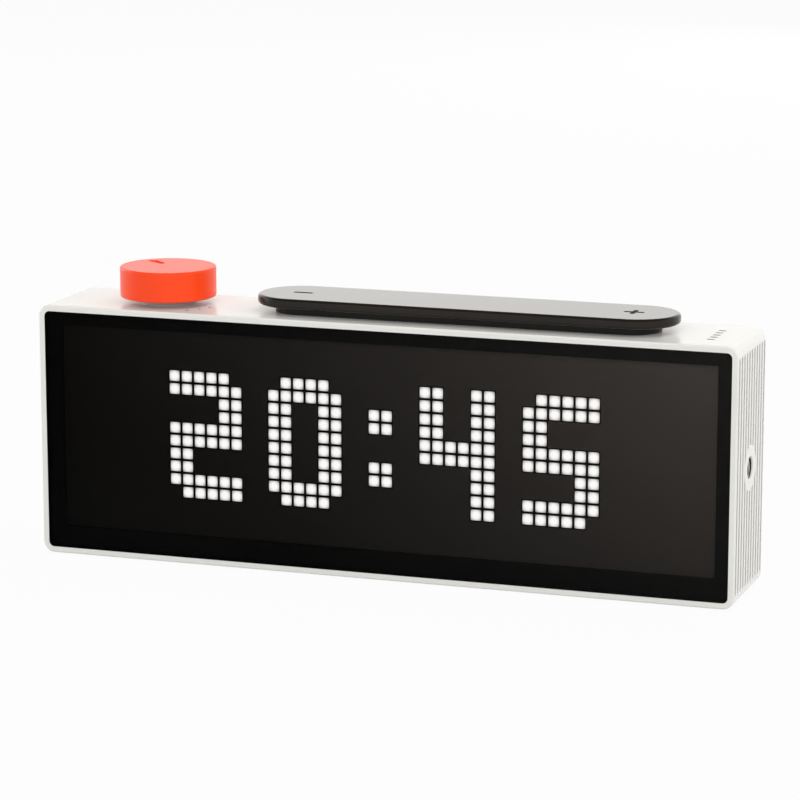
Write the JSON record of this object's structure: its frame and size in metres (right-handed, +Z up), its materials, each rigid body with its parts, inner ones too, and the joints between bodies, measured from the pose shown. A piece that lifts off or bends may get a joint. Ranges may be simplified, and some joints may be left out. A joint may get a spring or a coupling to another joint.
{
  "type": "smart pixel clock",
  "caption": "Low rectangular desk clock with a dot-matrix display behind a smoked panel, fluted sides, a push-and-turn knob and a long rocker key on top, and a tripod thread in one side.",
  "frame": {"origin": "below the middle of the body, on the surface that the feet stand on", "axes": "+X to the right along the display, -Y out of the display, +Z up"},
  "size_m": [0.2186, 0.0344, 0.0897],
  "materials": {
    "white_plastic": "fine moulded grain, warm white",
    "smoked_panel": "smoked acrylic, satin front",
    "black_tape": "matt adhesive film",
    "diffuser_sheet": "frosted dark film",
    "black_plastic": "moulded satin black",
    "circuit_board": "solder mask",
    "plated_steel": "bright plating",
    "ribbon_film": "flexible film",
    "battery_wrap": "shrink film",
    "foam": "soft foam",
    "speaker_steel": "painted pressing",
    "speaker_paper": "pressed paper",
    "grey_plastic": "fine moulded grain",
    "brass_insert": "machined",
    "foot_rubber": "matt rubber",
    "orange_plastic": "satin, fine grain",
    "black_key": "smooth satin black"
  },
  "bodies": {
    "case": {"housing": "white_plastic", "rear_cover": "white_plastic", "front_panel": "smoked_panel", "panel_tape": "black_tape", "diffuser": "diffuser_sheet", "column_baffle": "black_plastic", "row_baffle": "black_plastic", "led_board": "circuit_board", "main_board": "circuit_board", "wireless_module": "plated_steel", "usb_port": "plated_steel", "led_ribbon": "ribbon_film", "battery": "battery_wrap", "battery_pad": "foam", "speaker_frame": "speaker_steel", "speaker_cone": "speaker_paper", "encoder_body": "plated_steel", "encoder_washer": "plated_steel", "encoder_nut": "plated_steel", "encoder_board": "circuit_board", "knob_collar": "grey_plastic", "rocker_base": "black_plastic", "rocker_pin": "plated_steel", "rocker_board": "circuit_board", "rocker_switches": "plated_steel", "sensor_board": "circuit_board", "mount_insert": "brass_insert", "cover_screws": "plated_steel", "board_screws": "plated_steel", "feet": "foot_rubber"},
    "encoder_plunger": {"encoder_plunger": "brass_insert"},
    "knob": {"knob": "orange_plastic", "encoder_shaft": "plated_steel"},
    "rocker": {"rocker_key": "black_key"}
  },
  "joints": [
    {"name": "knob_press", "type": "slide", "parent": "case", "child": "encoder_plunger", "axis": [0, 0, -1], "range_m": [0, 0.0005], "stiffness_N_per_m": 3000, "springref_m": -0.0002},
    {"name": "knob_turn", "type": "hinge", "parent": "encoder_plunger", "child": "knob", "pos_m": [-0.0736, 0, 0.0795], "axis": [0, 0, 1], "continuous": true},
    {"name": "rocker_tilt", "type": "hinge", "parent": "case", "child": "rocker", "pos_m": [0.0221, 0, 0.0775], "axis": [0, 1, 0], "range_deg": [-0.5, 0.5], "stiffness_Nm_per_rad": 6}
  ]
}
